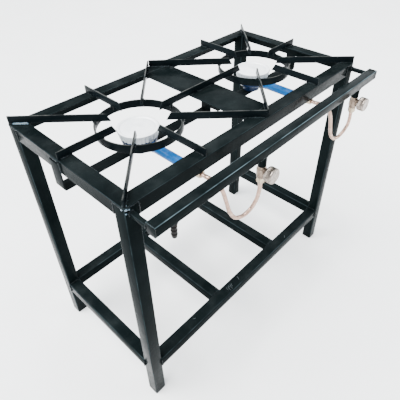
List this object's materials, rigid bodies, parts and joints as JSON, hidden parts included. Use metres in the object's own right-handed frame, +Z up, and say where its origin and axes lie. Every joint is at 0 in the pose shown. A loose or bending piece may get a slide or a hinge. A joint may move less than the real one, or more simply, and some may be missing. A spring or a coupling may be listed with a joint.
{
  "type": "propane burner stand",
  "caption": "Welded steel gas stove stand: black angle and tube frame with lower shelf, radial pot grates, cast burners on straps, front gas manifold, valves and bent copper tubes.",
  "frame": {"origin": "On the floor, at the middle of the bounding box seen from above.", "axes": "+X runs along the long side to the right as seen from the knobs, -Y is the side with the manifold and the knobs, +Z is up."},
  "size_m": [0.8075, 0.49, 0.7],
  "materials": {
    "black_paint": "glossy black paint with a green-blue tint over welded mild steel",
    "grate_paint": "satin black paint over flat steel bar",
    "cast_aluminium": "fine sand-cast, unpainted and pale",
    "blue_paint": "glossy blue paint",
    "brass": "turned pale brass",
    "copper": "drawn and hand-bent soft copper tube",
    "knob_metal": "turned bright metal",
    "black_fitting": "dark oxidised steel"
  },
  "bodies": {
    "stand": {"burner_bowl_left": "blue_paint", "burner_bowl_right": "blue_paint", "burner_strap_left": "grate_paint", "burner_strap_right": "grate_paint", "centre_plate": "black_paint", "flare_nut_left": "brass", "flare_nut_right": "brass", "gas_inlet_barb": "black_fitting", "gas_manifold": "black_paint", "gas_tube_left": "copper", "gas_tube_right": "copper", "grate_left_finger_back": "grate_paint", "grate_left_finger_back_left": "grate_paint", "grate_left_finger_back_right": "grate_paint", "grate_left_finger_front": "grate_paint", "grate_left_finger_front_left": "grate_paint", "grate_left_finger_front_right": "grate_paint", "grate_left_finger_left": "grate_paint", "grate_left_finger_right": "grate_paint", "grate_right_finger_back": "grate_paint", "grate_right_finger_back_left": "grate_paint", "grate_right_finger_back_right": "grate_paint", "grate_right_finger_front": "grate_paint", "grate_right_finger_front_left": "grate_paint", "grate_right_finger_front_right": "grate_paint", "grate_right_finger_left": "grate_paint", "grate_right_finger_right": "grate_paint", "grate_ring_left": "grate_paint", "grate_ring_right": "grate_paint", "injector_left": "brass", "injector_right": "brass", "leg_back_left": "black_paint", "leg_back_right": "black_paint", "leg_front_left": "black_paint", "leg_front_right": "black_paint", "manifold_arm_left": "black_paint", "manifold_arm_right": "black_paint", "mixer_tube_left": "blue_paint", "mixer_tube_right": "blue_paint", "shelf_bar_left": "black_paint", "shelf_bar_right": "black_paint", "shelf_rail_back": "black_paint", "shelf_rail_front": "black_paint", "shelf_rail_left": "black_paint", "shelf_rail_right": "black_paint", "top_rail_back": "black_paint", "top_rail_front": "black_paint", "top_rail_left": "black_paint", "top_rail_right": "black_paint", "valve_body_left": "brass", "valve_body_right": "brass"},
    "knob_left_turning": {"knob_left": "knob_metal", "valve_stem_left": "brass"},
    "air_shutter_left_turning": {"air_shutter_left": "blue_paint"},
    "burner_cap_left_lifting": {"burner_cap_left": "cast_aluminium"},
    "knob_right_turning": {"knob_right": "knob_metal", "valve_stem_right": "brass"},
    "air_shutter_right_turning": {"air_shutter_right": "blue_paint"},
    "burner_cap_right_lifting": {"burner_cap_right": "cast_aluminium"}
  },
  "joints": [
    {"name": "knob_left_turn", "type": "hinge", "parent": "stand", "child": "knob_left_turning", "pos_m": [-0.088, -0.234, 0.614], "axis": [0, -1, 0], "range_deg": [0, 90]},
    {"name": "knob_right_turn", "type": "hinge", "parent": "stand", "child": "knob_right_turning", "pos_m": [0.322, -0.234, 0.614], "axis": [0, -1, 0], "range_deg": [0, 90]},
    {"name": "air_shutter_left_turn", "type": "hinge", "parent": "stand", "child": "air_shutter_left_turning", "pos_m": [-0.2045, -0.1269, 0.637], "axis": [0, -1, 0], "range_deg": [0, 45]},
    {"name": "air_shutter_right_turn", "type": "hinge", "parent": "stand", "child": "air_shutter_right_turning", "pos_m": [0.205, -0.1269, 0.637], "axis": [0, -1, 0], "range_deg": [0, 45]},
    {"name": "burner_cap_left_lift", "type": "slide", "parent": "stand", "child": "burner_cap_left_lifting", "axis": [0, 0, 1], "range_m": [0, 0.06]},
    {"name": "burner_cap_right_lift", "type": "slide", "parent": "stand", "child": "burner_cap_right_lifting", "axis": [0, 0, 1], "range_m": [0, 0.06]}
  ]
}
